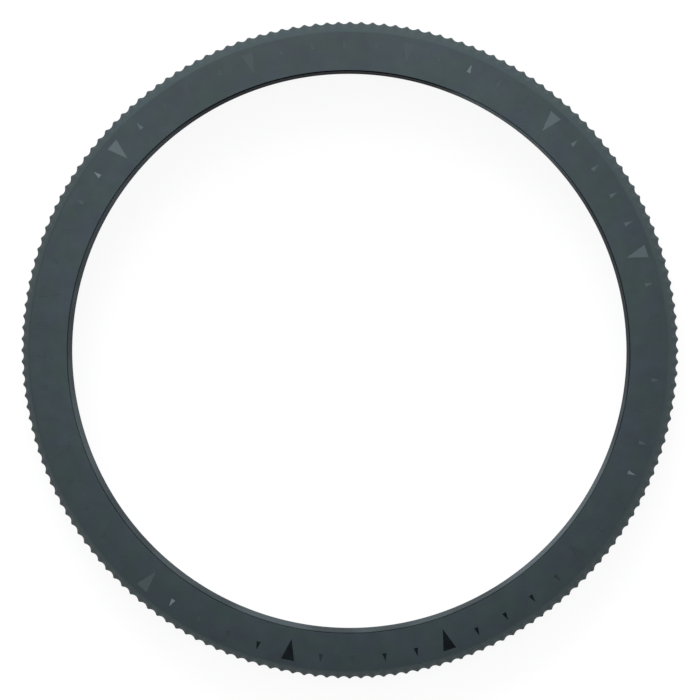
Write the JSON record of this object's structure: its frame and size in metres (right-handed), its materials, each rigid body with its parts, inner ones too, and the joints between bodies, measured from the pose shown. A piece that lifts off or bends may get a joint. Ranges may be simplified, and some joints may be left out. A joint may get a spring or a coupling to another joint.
{
  "type": "rotating watch bezel",
  "caption": "Rotating watch bezel: scalloped coin-edge grip ring, sloping matt insert with polished triangle marks, and the fixed carrier ring it clicks round on.",
  "frame": {"origin": "centre of the carrier ring's seat, where the module rests on the watch case", "axes": "+Z along the turning axis towards the wearer's eye; +Y towards the top of the picture, +X to its right"},
  "size_m": [0.042, 0.042, 0.0038],
  "materials": {
    "satin_coated_steel": "satin dark hard coat",
    "matt_ceramic": "fine matt, blasted",
    "polished_ceramic": "mirror polished",
    "bonding_tape": "matt film",
    "glide_polymer": "smooth sheet",
    "ratchet_bronze": "machined",
    "spring_steel": "drawn wire",
    "ball_steel": "polished",
    "pawl_steel": "ground and hardened"
  },
  "bodies": {
    "carrier": {"carrier_ring": "satin_coated_steel", "glide_ring": "glide_polymer", "ball_spring_1": "spring_steel", "ball_spring_2": "spring_steel", "ball_spring_3": "spring_steel", "pawl_spring_1": "spring_steel", "pawl_spring_2": "spring_steel", "pawl_spring_3": "spring_steel"},
    "bezel": {"grip_ring": "satin_coated_steel", "graduation_insert": "matt_ceramic", "insert_tape": "bonding_tape", "hour_triangles": "polished_ceramic", "minute_darts": "polished_ceramic", "ratchet_ring": "ratchet_bronze", "retaining_wire": "spring_steel"},
    "ball_1": {"detent_ball_1": "ball_steel"},
    "ball_2": {"detent_ball_2": "ball_steel"},
    "ball_3": {"detent_ball_3": "ball_steel"},
    "pawl_1": {"click_pawl_1": "pawl_steel"},
    "pawl_2": {"click_pawl_2": "pawl_steel"},
    "pawl_3": {"click_pawl_3": "pawl_steel"}
  },
  "joints": [
    {"name": "bezel_turn", "type": "hinge", "parent": "carrier", "child": "bezel", "pos_m": [0, 0, 0], "axis": [0, 0, 1], "continuous": true},
    {"name": "ball_1_press", "type": "slide", "parent": "carrier", "child": "ball_1", "axis": [0, 0, 1], "range_m": [-0.0002, 0], "stiffness_N_per_m": 150, "springref_m": 0.0003, "deforming": ["ball_spring_1"]},
    {"name": "ball_2_press", "type": "slide", "parent": "carrier", "child": "ball_2", "axis": [0, 0, 1], "range_m": [-0.0002, 0], "stiffness_N_per_m": 150, "springref_m": 0.0003, "deforming": ["ball_spring_2"]},
    {"name": "ball_3_press", "type": "slide", "parent": "carrier", "child": "ball_3", "axis": [0, 0, 1], "range_m": [-0.0002, 0], "stiffness_N_per_m": 150, "springref_m": 0.0003, "deforming": ["ball_spring_3"]},
    {"name": "pawl_1_press", "type": "slide", "parent": "carrier", "child": "pawl_1", "axis": [0, 0, 1], "range_m": [-0.0002, 0], "stiffness_N_per_m": 150, "springref_m": 0.0003, "deforming": ["pawl_spring_1"]},
    {"name": "pawl_2_press", "type": "slide", "parent": "carrier", "child": "pawl_2", "axis": [0, 0, 1], "range_m": [-0.0002, 0], "stiffness_N_per_m": 150, "springref_m": 0.0003, "deforming": ["pawl_spring_2"]},
    {"name": "pawl_3_press", "type": "slide", "parent": "carrier", "child": "pawl_3", "axis": [0, 0, 1], "range_m": [-0.0002, 0], "stiffness_N_per_m": 150, "springref_m": 0.0003, "deforming": ["pawl_spring_3"]}
  ]
}
